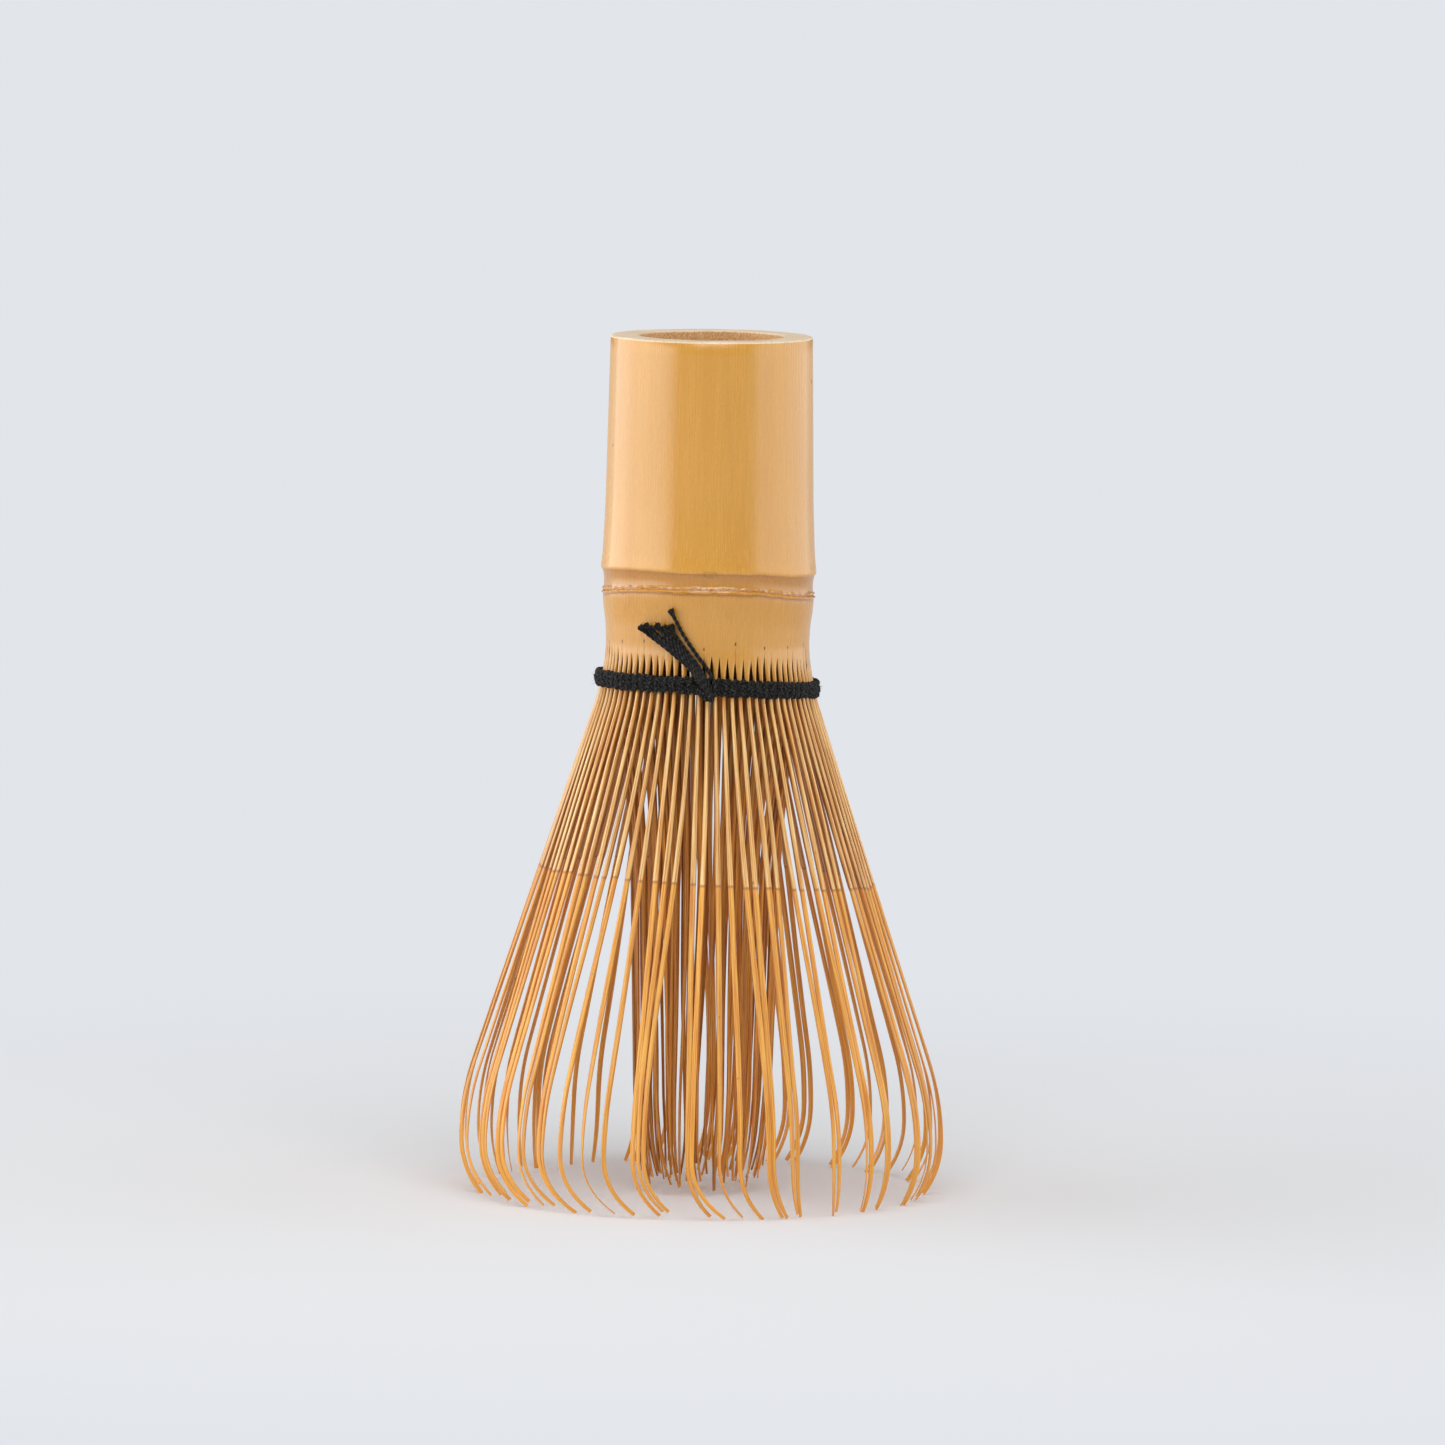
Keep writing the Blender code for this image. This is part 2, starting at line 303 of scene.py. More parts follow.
def srgb(red, green, blue):
    """A colour of 0 to 255 on screen, in a shader's linear values."""
    parts = [part / 255 for part in (red, green, blue)]
    return (*[part / 12.92 if part <= 0.04045 else ((part + 0.055) / 1.055) ** 2.4 for part in parts], 1.0)


def start_material(name, **constants):
    made = bpy.data.materials.new(name)
    made.use_nodes = True
    shader = made.node_tree.nodes["Principled BSDF"]
    for key, value in constants.items():
        shader.inputs[key.replace("_", " ")].default_value = value
    return made, made.node_tree, shader


def connect(tree, shader, **sockets):
    for key, socket in sockets.items():
        tree.links.new(socket, shader.inputs[key.replace("_", " ")])


def shaded(tree, colour, brightness):
    """A colour made lighter or darker by a number."""
    grey = add_node(tree, "CombineColor", {0: brightness, 1: brightness, 2: brightness}).outputs[0]
    return mix(tree, 1.0, colour, grey, "MULTIPLY")


def fibre_ramp(tree, fibres, dark, light):
    """A colour that follows the fibres' noise from dark to light."""
    return ramp(tree, fibres, ((0.38, srgb(*dark)), (0.62, srgb(*light))))


BLACK, WHITE = (0, 0, 0, 1), (1, 1, 1, 1)
# How the skin's colour changes over the node, by height in mm from its middle, within NODE_REACH. The dark
# stop just under the ridge, at 1.16, is partly a painted shadow.
NODE_REACH = 4.0
NODE_TINTS = (
    (-4.0, 0.95, 0.92, 0.88), (-2.0, 0.92, 0.88, 0.82), (-1.62, 0.55, 0.42, 0.30),
    (-1.46, 1.02, 0.96, 0.90), (-1.24, 1.00, 0.92, 0.84), (-1.12, 0.60, 0.46, 0.34),
    (-0.96, 0.90, 0.82, 0.76), (-0.60, 0.82, 0.75, 0.68), (0.40, 0.78, 0.69, 0.62),
    (1.02, 0.76, 0.66, 0.56), (1.16, 0.74, 0.62, 0.50), (1.32, 1.02, 0.98, 0.93),
    (1.80, 1.03, 1.02, 1.0), (3.60, 1.0, 1.0, 1.0),
)


# Dark specks on the skin: angle from the front in degrees, height and radius in mm
SPECKS = (
    (79, 106.7, 0.42), (-70, 98.2, 0.2), (-79, 72.6, 0.3),
    (118, 92.0, 0.3), (-140, 101.0, 0.25), (171, 88.5, 0.35),
)
# Half the width and half the height of the pits at the tops of the cracks, in mm
PIT_WIDTH, PIT_HEIGHT = 0.11, 0.24


def skin_base(tree, fibres, grain):
    """The skin's own colour, in broad soft bands and fine lengthways fibres."""
    bands = times(tree, noise(tree, 330, 7, 2.0), 0.5)
    clouds = times(tree, noise(tree, 90, 45, 2.0), 0.5)
    tone = plus(tree, bands, clouds)
    skin = ramp(tree, tone, ((0.3, srgb(216, 151, 54)), (0.7, srgb(227, 166, 66))))
    skin = shaded(tree, skin, remap(tree, fibres, 0.25, 0.75, 0.93, 1.05))
    return shaded(tree, skin, remap(tree, grain, 0.3, 0.7, 0.95, 1.05))


def tint_node(tree, skin):
    """Browns the skin over the node, with torn pale fibres along the sheath scar, and a darker line under
    the ridge that is partly a painted shadow.
    """
    uneven = remap(tree, noise(tree, 1500, 500, 3.0, 0.7), 0.3, 0.7, -0.08, 0.08)
    height = plus(tree, attribute(tree, "node_height"), uneven)
    share = remap(tree, height, -NODE_REACH, NODE_REACH)
    tints = [((level + NODE_REACH) / (2 * NODE_REACH), (*tint, 1)) for level, *tint in NODE_TINTS]
    skin = mix(tree, 1.0, skin, ramp(tree, share, tints), "MULTIPLY")
    on_scar = ramp(tree, share, ((0.365, BLACK), (0.39, WHITE), (0.42, BLACK)))
    patches = remap(tree, noise(tree, 2200, 1500, 3.0, 0.7), 0.48, 0.62, 0.0, 0.9)
    return mix(tree, times(tree, on_scar, patches), skin, srgb(238, 214, 184))


def add_specks(tree, skin, grain):
    """Adds the specks that SPECKS lists, and scattered darker grains."""
    place = add_node(tree, "TexCoord").outputs["Object"]
    ragged = remap(tree, grain, 0.3, 0.7, -0.08 * MM, 0.08 * MM)
    for turn, level, size in SPECKS:
        centre = around(math.radians(turn), 13.5 * MM, level * MM).tolist()
        away = add_node(tree, "VectorMath", {0: place, 1: centre}, operation="DISTANCE").outputs["Value"]
        edge = plus(tree, away, ragged)
        skin = mix(tree, remap(tree, edge, size * MM, 0.6 * size * MM), skin, srgb(74, 44, 22))
    grains = remap(tree, noise(tree, 3600, 2600, 1.0), 0.72, 0.80, 0.0, 0.22)
    return mix(tree, grains, skin, srgb(150, 100, 46))


def pit_mask(tree):
    """1 in the ragged pits at the tops of the cracks, and 0 outside them."""
    beside = math_node(tree, "DIVIDE", attribute(tree, "pit_across"), PIT_WIDTH)
    above = math_node(tree, "DIVIDE", attribute(tree, "pit_above"), PIT_HEIGHT)
    place = add_node(tree, "CombineXYZ", {0: beside, 1: above}).outputs[0]
    distance = add_node(tree, "VectorMath", {0: place}, operation="LENGTH").outputs["Value"]
    ragged = remap(tree, noise(tree, 5200, 4200, 2.0), 0.3, 0.7, -0.5, 0.5)
    return remap(tree, plus(tree, distance, ragged), 1.0, 0.6)


def make_skin():
    """The culm's skin: satin, with fibres, a browner node, specks, pits and scratches."""
    made, tree, shader = start_material("bamboo_skin", Specular_IOR_Level=1.0)
    fibres = noise(tree, 5200, 70, 3.0, 0.6)
    grain = noise(tree, 6500, 3800, 2.0, 0.7)
    skin = tint_node(tree, skin_base(tree, fibres, grain))
    skin = add_specks(tree, skin, grain)
    skin = mix(tree, attribute(tree, "eye_mark"), skin, srgb(96, 56, 22))
    pit = pit_mask(tree)
    skin = mix(tree, pit, skin, srgb(96, 46, 8))
    scratches = noise(tree, 900, 15000, 1.0, turn=0.6)
    skin = mix(tree, remap(tree, scratches, 0.76, 0.80, 0.0, 0.35), skin, srgb(244, 214, 160))
    rough = math_node(tree, "ADD", remap(tree, fibres, 0.3, 0.7, 0.22, 0.30), pit, clamp=True)
    relief = plus(tree, fibres, times(tree, grain, 0.6))
    connect(tree, shader, Base_Color=skin, Roughness=rough, Normal=bump(tree, relief, 0.16, 0.03 * MM))
    return made


def make_flesh():
    """Cut bamboo: pale, with dotted fibre ends, and browner where shade is over 0: a bore colour at 0.5,
    and painted shade of dark brown at 1.
    """
    made, tree, shader = start_material("bamboo_flesh", Specular_IOR_Level=0.3, Roughness=0.62)
    dots = noise(tree, 3800, 60, 2.0, 0.6)
    clouds = noise(tree, 260, 120, 3.0)
    crumbs = noise(tree, 5200, 4200, 3.0, 0.7)
    base = ramp(tree, clouds, ((0.3, srgb(242, 212, 174)), (0.7, srgb(252, 234, 206))))
    base = mix(tree, remap(tree, dots, 0.54, 0.70, 0.0, 0.4), base, srgb(190, 140, 92))
    shade = attribute(tree, "shade")
    bore_colours = ((0.35, srgb(190, 134, 78)), (0.5, srgb(214, 164, 108)), (0.65, srgb(236, 198, 150)))
    base = mix(tree, remap(tree, shade, 0.0, 0.5), base, ramp(tree, crumbs, bore_colours))
    # Painted shade: where shade is 1, on the slit walls and inside the neck, the cut bamboo goes dark
    # brown.
    base = mix(tree, remap(tree, shade, 0.5, 1.0), base, srgb(84, 44, 16))
    relief = plus(tree, dots, clouds)
    connect(tree, shader, Base_Color=base, Normal=bump(tree, relief, 0.5, 0.08 * MM))
    return made


def tine_streaks(tree):
    """Noise in streaks along each tine, different for each."""
    pattern = times(tree, attribute(tree, "tint"), 40.0)
    across = times(tree, attribute(tree, "across"), 2.4)
    across = plus(tree, across, pattern)
    lengthways = times(tree, attribute(tree, "height"), 0.11)
    place = add_node(tree, "CombineXYZ", {0: across, 1: lengthways, 2: pattern}).outputs[0]
    inputs = {"Vector": place, "Scale": 1.0, "Detail": 3.0, "Roughness": 0.6}
    return add_node(tree, "TexNoise", inputs).outputs["Fac"]


def make_outer_bamboo():
    """Outer tines: pale skin above the peel line, an oranger shaved part below it, and darker cut sides
    that are partly painted shade.
    """
    made, tree, shader = start_material("outer_tine_bamboo", Specular_IOR_Level=0.8)
    side = attribute(tree, "side")
    over_peel = attribute(tree, "over_peel")
    peeled = remap(tree, over_peel, 0.05, -0.05)
    fibres = tine_streaks(tree)
    skin_colours = ((0.36, srgb(206, 130, 44)), (0.5, srgb(244, 182, 94)), (0.64, srgb(255, 226, 160)))
    upper = ramp(tree, fibres, skin_colours)
    # The cut sides: darker brown, partly the cut bamboo's own colour and partly painted shade.
    upper = mix(tree, side, upper, fibre_ramp(tree, fibres, (134, 70, 12), (190, 112, 32)))
    lower = fibre_ramp(tree, fibres, (220, 132, 26), (255, 190, 76))
    # Below the peel line the sides are also darker, partly with painted shade.
    lower = mix(tree, times(tree, side, 0.6), lower, srgb(192, 110, 32))
    base = mix(tree, peeled, upper, lower)
    near_tip = remap(tree, attribute(tree, "height"), 14.0, 2.0, 0.0, 0.6)
    base = mix(tree, near_tip, base, srgb(246, 170, 56))
    under_line = remap(tree, over_peel, -0.3, -0.1)
    line = times(tree, under_line, remap(tree, over_peel, 0.2, 0.05))
    base = mix(tree, times(tree, line, 0.6), base, srgb(160, 92, 38))
    base = shaded(tree, base, remap(tree, attribute(tree, "tint"), 0.0, 1.0, 0.86, 1.06))
    specks = remap(tree, noise(tree, 2200, 900, 1.0), 0.76, 0.82, 0.0, 0.6)
    base = mix(tree, specks, base, srgb(110, 60, 24))
    cut = times(tree, math_node(tree, "MAXIMUM", side, peeled), 0.15)
    rough = plus(tree, remap(tree, fibres, 0.3, 0.7, 0.26, 0.4), cut)
    connect(tree, shader, Base_Color=base, Roughness=rough, Normal=bump(tree, fibres, 0.2, 0.02 * MM))
    return made


def make_inner_bamboo():
    """Inner tines: cut bamboo, with painted shade that darkens them near the thread."""
    made, tree, shader = start_material("inner_tine_bamboo", Roughness=0.5)
    fibres = tine_streaks(tree)
    base = fibre_ramp(tree, fibres, (184, 102, 20), (242, 168, 66))
    shade = remap(tree, attribute(tree, "tint"), 0.0, 1.0, 0.5, 1.12)
    # Painted shade: 0.6 times as bright at 63 mm, under the thread, rising to full brightness at 50 mm.
    painted_shade_near_thread = remap(tree, attribute(tree, "height"), 63.0, 50.0, 0.6, 1.0)
    base = shaded(tree, base, times(tree, shade, painted_shade_near_thread))
    connect(tree, shader, Base_Color=base, Normal=bump(tree, fibres, 0.2, 0.02 * MM))
    return made


def make_cotton():
    """Black cotton yarn: matt, with painted shade between its plies, light flecks that are partly painted
    glints of the fibres, and a brownish bloom.
    """
    settings = {"Sheen_Weight": 0.04, "Sheen_Roughness": 0.4, "Specular_IOR_Level": 0.3, "Roughness": 0.8}
    made, tree, shader = start_material("black_cotton", **settings)
    fluff = noise(tree, 8200, 8200, 3.0, 0.8)
    lint = remap(tree, noise(tree, 2600, 2600, 2.0), 0.72, 0.80, 0.0, 0.4)
    # The fluff's lightest flecks are partly painted glints of the fibres.
    base = ramp(tree, fluff, ((0.40, srgb(8, 8, 9)), (0.54, srgb(36, 35, 34)), (0.68, srgb(116, 110, 105))))
    # Painted shade: near black between the plies, away from their crests.
    base = mix(tree, remap(tree, attribute(tree, "crest"), 0.4, 0.95), srgb(2, 2, 2), base)
    base = mix(tree, lint, base, srgb(120, 108, 96))
    connect(tree, shader, Base_Color=base, Normal=bump(tree, fluff, 0.9, 0.07 * MM))
    return made


# ==== the culm ====


def front_rise(angle):
    """1 at the front and a little below 0 at the back."""
    return 0.6 * np.cos(angle) + 0.4 * np.cos(angle) ** 2


def node_wave(angle, height):
    """How far the node's rings stand above their mean height."""
    upper = smooth_step(78.9 * MM, 81.2 * MM, height)
    rise = (1.35 - 0.7 * upper) * front_rise(angle) + 0.48 * upper - 0.15
    slant = -(0.22 + 0.04 * upper) * np.sin(angle)
    waves = 0.06 * ripple(angle, 3, (2, 7)) + 0.02 * ripple(angle, 4, (9, 30))
    return (rise + slant + waves) * MM


CULM_OUTLINE = (
    (60.0, 15.9), (66.2, 14.2), (66.9, 14.02), (68.6, 13.68), (70.2, 13.42), (72.2, 13.3), (74.8, 13.42),
    (76.8, 13.7), (78.2, 13.82), (79.2, 13.68), (80.4, 13.66), (81.0, 13.86), (82.4, 13.98), (84.6, 13.84),
    (90.7, 13.6), (102.0, 13.4), (113.0, 13.2), (120.0, 13.1),
)


def culm_profile():
    """The outline's heights and radii in fine steps, with its corners smoothed."""
    heights = np.arange(60.0, 120.0, 0.02)
    radii = np.interp(heights, *np.array(CULM_OUTLINE).T)
    window = np.exp(-0.5 * (np.arange(-60, 61) * 0.02 / 0.35) ** 2)
    smoothed = np.convolve(np.pad(radii, 60, "edge"), window / window.sum(), "valid")
    return heights * MM, smoothed * MM


PROFILE = culm_profile()


def node_level(angle, height):
    """The height at which the even outline has this point, which the node's climb shifts."""
    near_node = 1 - smooth_step(3.5 * MM, 9.5 * MM, abs(height - 80.8 * MM))
    level = height
    for _ in range(3):
        level = height - node_wave(angle, level) * near_node
    return level


def culm_radius(angle, height):
    """The culm's outer face, with its wavy ridges and faint unevenness."""
    level = node_level(angle, height)
    radius = np.interp(level, *PROFILE)
    above = level / MM - 81.35
    width = np.where(above > 0, 0.9, 0.22)
    radius = radius + 0.2 * MM * np.exp(-((above / width) ** 2))
    lip = 0.24 + 0.05 * ripple(angle, 5, (8, 40))
    radius = radius + lip * MM * np.exp(-(((level / MM - 78.68) / 0.14) ** 2))
    torn = 0.15 + 0.08 * ripple(angle, 6, (10, 90))
    torn_height = 79.16 + 0.05 * ripple(angle, 7, (10, 60))
    radius = radius + torn * MM * np.exp(-(((level / MM - torn_height) / 0.12) ** 2))
    eye = ((angle - 0.02) * 13.9 / 0.8) ** 2 + ((level / MM - 81.15) / 0.42) ** 2
    radius = radius + 0.07 * MM * (np.exp(-((eye - 1.0) ** 2) * 5) - np.exp(-eye * 4))
    facets = 0.035 * np.cos(2 * angle + 0.9) + 0.012 * ripple(angle, 8, (3, 9))
    return radius + (facets + 0.011 * ripple(angle, 9, (14, 40))) * MM


def course_slant(angle):
    """How far the woven band is above its mean height."""
    return (-0.6 * np.sin(angle) + 0.7 * front_rise(angle)) * MM


def slit_angles():
    """Where the slits between fingers lie, one before each tine and the first again at the end."""
    first = math.atan2(JOINTS["outer_tines_01"]["pos_m"][0], -JOINTS["outer_tines_01"]["pos_m"][1])
    even = first + (np.arange(TINES) - TINES_PER_SECTION / 2) * PITCH
    uneven = even + random.normal(0, 0.05, TINES) * PITCH
    return np.append(uneven, uneven[0] + TURN)


SLITS = slit_angles()
SLIT_TOPS = SLIT_TOP + random.normal(0, 0.42, TINES) * MM + course_slant(SLITS[:-1])
SLIT_WIDTHS = SLIT_WIDTH * (1 + random.normal(0, 0.12, TINES))
SLIT_FEET = THREAD_HEIGHT + course_slant(SLITS[:-1])
CRACK_TOPS = np.where(np.arange(TINES) % TINES_PER_SECTION == 1, random.uniform(72.3, 73.2, TINES) * MM, 0)


def slit_gap(height):
    """Each slit's width by height: a V down to the thread, and a crack over some."""
    height = np.reshape(height, (-1, 1))
    depth = np.clip((SLIT_TOPS - height) / (SLIT_TOPS - SLIT_FEET), 0, 1.05)
    cracked = np.where(height < CRACK_TOPS, CRACK_WIDTH * smooth_step(0, 1.2 * MM, CRACK_TOPS - height), 0)
    gap = np.maximum(SLIT_WIDTHS * depth**0.8, cracked)
    return np.where(gap > NARROWEST_GAP, gap, 0)


def culm_rows():
    """The culm's section as (kind, radius or 0 where the skin sets it, height): up the bore, over the
    rim, down the outside, back up the inside. Then the fingers' first row and their rows' number."""
    rows = [("cut", r * MM, DIAPHRAGM + 0.25 * MM * (r / 9) ** 2) for r in (0.02, 2, 4, 6, 8, 8.9)]
    rows += [("cut", BORE_RADIUS, z) for z in np.linspace(DIAPHRAGM + 0.8 * MM, RIM_HEIGHT - 0.25 * MM, 14)]
    rows += [("rim", BORE_RADIUS + 0.12 * MM, RIM_HEIGHT - 0.06 * MM)]
    rows += [("rim", r, RIM_HEIGHT) for r in np.linspace(BORE_RADIUS + 0.3 * MM, RIM_RADIUS - 0.3 * MM, 6)]
    rows += [("rim", RIM_RADIUS - 0.1 * MM, RIM_HEIGHT - 0.07 * MM)]
    grip = np.linspace(RIM_HEIGHT - 0.25 * MM, 85.0 * MM, 16)
    node = np.arange(84.4, 77.8, -0.1) * MM
    neck = np.arange(77.4, 75.3, -0.4) * MM
    rows += [("skin", 0.0, z) for z in np.concatenate([grip, node, neck])]
    foot = np.linspace(67.9, FINGER_END / MM, 4)
    fingers = np.concatenate([np.arange(75.1, 74.2, -0.3), np.arange(74.1, 68.0, -0.16), foot]) * MM
    first = len(rows)
    rows += [("skin", 0.0, z) for z in fingers]
    rows += [("under", NECK_BORE, z) for z in fingers[::-1]]
    underside = DIAPHRAGM - DIAPHRAGM_THICKNESS
    rows += [("under", NECK_BORE - 0.6 * MM, z) for z in np.linspace(76.2 * MM, underside - 0.6 * MM, 4)]
    rows += [("under", radius * MM, underside) for radius in (10.0, 8, 5, 2, 0.02)]
    return rows, first, len(fingers)


def eye_mark(angle, height):
    """How dark the ring round the small eye on the node's ridge is, from 0 to 1."""
    eye = ((angle - 0.02) * 13.9 / 0.85) ** 2 + ((node_level(angle, height) / MM - 81.2) / 0.4) ** 2
    return 0.35 * np.exp(-((eye - 1.0) ** 2) * 6)


def pit_distance(angle, height):
    """How far across and above the nearest crack's pit each point is, in mm."""
    across = np.full(angle.shape, 9.0)
    above = np.full(angle.shape, 9.0)
    for number in np.nonzero(CRACK_TOPS)[0]:
        away = abs(np.mod(angle - SLITS[number] + math.pi, TURN) - math.pi) * RIM_RADIUS / MM
        nearer = away < across
        across = np.where(nearer, away, across)
        above = np.where(nearer, (height - CRACK_TOPS[number]) / MM, above)
    return across, above


# Where the columns of points lie across a finger, from the slit on its left to the one on its right
COLUMNS = np.array([-1.0, -0.78, -0.28, 0.28, 0.78, 1.0])


def culm_grid(kinds, radii, heights, before, after):
    """Angles, radii and heights by row, finger and column, from the slits' widths beside each finger."""
    left = SLITS[:-1] + before / 2 / RIM_RADIUS
    right = SLITS[1:] - after / 2 / RIM_RADIUS
    angle = left[..., None] + (right - left)[..., None] * (COLUMNS + 1) / 2
    height = np.broadcast_to(heights[:, None, None], angle.shape)
    is_skin = (kinds == "skin")[:, None, None]
    radius = np.where(is_skin, culm_radius(angle, height), radii[:, None, None])
    opening = np.maximum(before, after)[..., None] / SLIT_WIDTH
    rounding = FINGER_ROUNDING * np.clip(1.3 * opening, 0, 1) * abs(COLUMNS) ** 2.5
    radius = radius - np.where(is_skin, rounding, 0)
    bore = ((kinds == "cut") & (heights > DIAPHRAGM + 0.5 * MM))[:, None, None]
    rough = 0.05 * ripple(angle, 21, (2, 7)) + 0.025 * ripple(angle + height * 40, 22, (20, 60))
    radius = radius + np.where(bore, rough * MM, 0)
    near_rim = smooth_step(RIM_HEIGHT - 3 * MM, RIM_HEIGHT, height)
    saw_slant = 0.12 * (1 + np.cos(angle)) + 0.03 * (1 + ripple(angle, 23, (2, 12)))
    return angle, radius, np.minimum(height - near_rim * saw_slant * MM, RIM_HEIGHT)


def merged(points):
    """Which points stay when those at one place are merged, and each point's number."""
    places = np.round(points / MERGE_DISTANCE).astype(np.int64)
    _, kept, numbers = np.unique(places, axis=0, return_index=True, return_inverse=True)
    return kept, numbers


def slit_sides(number, before, after, first, count):
    """The faces down both sides of every open slit."""
    faces = []
    for row in range(first, first + count - 1):
        inside = 2 * (first + count) - 1 - row
        for tine in range(TINES):
            for gap, column in ((before, 0), (after, -1)):
                if gap[row + 1, tine] > 0:
                    corners = [number[at, tine, column] for at in (row, row + 1, inside - 1, inside)]
                    faces.append(corners if column == 0 else corners[::-1])
    return faces


def culm_values(angle, height, kinds, heights):
    """What the culm's two materials read at each of its points."""
    pit_across, pit_above = pit_distance(angle, height)
    # shade 1 is painted shade on the slit walls and inside the neck; 0.5 gives the bore its browner colour.
    split_rows = (kinds == "under") | ((kinds == "skin") & (heights < 76 * MM))
    bore_rows = (kinds == "cut") & (heights < RIM_HEIGHT - 0.2 * MM)
    shade = np.where(split_rows, 1.0, np.where(bore_rows, 0.5, 0.0))
    return {
        "node_height": (node_level(angle, height) - NODE_MIDDLE) / MM,
        "eye_mark": eye_mark(angle, height),
        "pit_across": pit_across,
        "pit_above": pit_above,
        "shade": np.broadcast_to(shade[:, None, None], angle.shape),
    }


def make_culm(skin, flesh):
    """The culm as one closed mesh, cut through by the slits."""
    rows, first, count = culm_rows()
    kinds, radii, heights = (np.array(values) for values in zip(*rows))
    before = np.zeros((len(rows), TINES))
    for start in (first, first + count):
        before[start : start + count] = slit_gap(heights[start : start + count])
    after = np.roll(before, -1, axis=1)
    angle, radius, height = culm_grid(kinds, radii, heights, before, after)
    points = around(angle, radius, height).reshape(-1, 3)
    kept, numbers = merged(points)
    number = numbers.reshape(angle.shape)
    grid = np.stack([number[:-1, :, :-1], number[:-1, :, 1:], number[1:, :, 1:], number[1:, :, :-1]], -1)
    sides = slit_sides(number, before, after, first, count)
    cut = (kinds[:-1] != "skin") | (kinds[1:] != "skin")
    slots = [*np.repeat(cut.astype(int), TINES * (len(COLUMNS) - 1)).tolist(), *[1] * len(sides)]
    values = culm_values(angle, height, kinds, heights)
    values = {name: value.reshape(-1)[kept] for name, value in values.items()}
    faces = grid.reshape(-1, 4).tolist() + sides
    made = add_mesh("bamboo_handle", points[kept], faces, [skin, flesh], values, sharp=50)
    made.data.polygons.foreach_set("material_index", slots)
    return made


# ==== tines ====


def outer_radius(height):
    """Radius of the outer tines' outer faces, from the thread down to the tips."""
    inset = BELLY_RADIUS - TIP_RADIUS
    tip_arc = (BELLY_HEIGHT**2 + inset**2) / (2 * inset)
    lean = math.atan(SLOPE)
    slope_at_belly = FLARE_RADIUS + SLOPE * (FLARE_HEIGHT - BELLY_HEIGHT)
    arc = (slope_at_belly - BELLY_RADIUS) / (SLOPE * math.sin(lean) - 1 + math.cos(lean))
    below = BELLY_RADIUS - tip_arc + np.sqrt(np.maximum(tip_arc**2 - (BELLY_HEIGHT - height) ** 2, 0))
    belly = BELLY_RADIUS - arc + np.sqrt(np.maximum(arc**2 - (height - BELLY_HEIGHT) ** 2, 0))
    slope = FLARE_RADIUS + SLOPE * (FLARE_HEIGHT - height)
    flare = np.interp(height, *PROFILE)
    radius = np.where(height < BELLY_HEIGHT, below, belly)
    radius = np.where(height > BELLY_HEIGHT + arc * math.sin(lean), slope, radius)
    blend = smooth_step(64.0 * MM, 66.6 * MM, height)
    return radius * (1 - blend) + (flare - 0.06 * MM) * blend


# For the staves seen from the front, how their tines clump at the belly: (degrees from the front, tines)
FRONT_CLUMPS = {
    16: ((-92.0, 2), (-83.5, 2)),
    17: ((-74.5, 1), (-64.5, 3)),
    18: ((-55.5, 2), (-47.5, 2)),
    19: ((-41.0, 2), (-35.0, 1), (-29.0, 1)),
    20: ((-23.0, 1), (-14.8, 3)),
    1: ((-2.4, 2), (4.8, 1), (9.2, 1)),
    2: ((16.8, 2), (23.0, 2)),
    3: ((34.0, 2), (44.0, 2)),
    4: ((50.5, 2), (63.0, 2)),
    5: ((71.0, 3), (77.5, 1)),
    6: ((86.5, 2), (95.5, 2)),
}
CLUMP_PITCH = 1.5
BACK_PATTERNS = ((2, 2), (1, 3), (3, 1), (2, 1, 1), (1, 2, 1), (1, 1, 2))


def belly_angles(section, middle):
    """The angles that a stave's outer tines have at the belly."""
    if section in FRONT_CLUMPS:
        clumps = FRONT_CLUMPS[section]
    else:
        counts = BACK_PATTERNS[random.integers(len(BACK_PATTERNS))]
        places = np.linspace(-5.6, 5.6, len(counts)) + random.normal(0, 0.7, len(counts))
        clumps = [(math.degrees(middle) + place, count) for place, count in zip(places, counts)]
    angles = [
        math.radians(place + (tine - (count - 1) / 2) * CLUMP_PITCH)
        for place, count in clumps
        for tine in range(count)
    ]
    return np.unwrap([middle, *angles])[1:] if section in FRONT_CLUMPS else angles


def section_middle(kind, section):
    x, y, _ = JOINTS[f"{kind}_tines_{section:02}"]["pos_m"]
    return math.atan2(x, -y)


OUTER_HEIGHTS = np.concatenate([
    np.linspace(67.4, 60.0, 9), np.linspace(58.0, 46.0, 7), np.linspace(44.0, 40.0, 17),
    np.linspace(38.5, 16.0, 14), np.linspace(14.6, 0.0, 22),
]) * MM
# A rectangle with its skin side, at +1 in the second number, a little rounded
TINE_OUTLINE = np.array([
    (1.0, -0.6), (1.0, 0.15), (0.82, 0.64), (0.3, 1.0), (-0.3, 1.0),
    (-0.82, 0.64), (-1.0, 0.15), (-1.0, -0.6), (-0.75, -1.0), (0.75, -1.0),
])
# At each corner of the outline: how far it is on a cut side, from 0 to 1, and its place across. The outer
# tines' material darkens the cut sides, partly with painted shade
TINE_CORNERS = {
    "side": np.array([1.0, 0.9, 0.15, 0.0, 0.0, 0.15, 0.9, 1.0, 0.4, 0.4]),
    "across": TINE_OUTLINE[:, 0],
}


# How far sideways the tips curl, in mm, by the angle round the whisk in degrees
SWIRL = ((-180, -100, -30, 0, 25, 50, 80, 180), (1.5, 2.4, 3.4, 3.2, 1.8, 0.6, 0.4, 1.5))
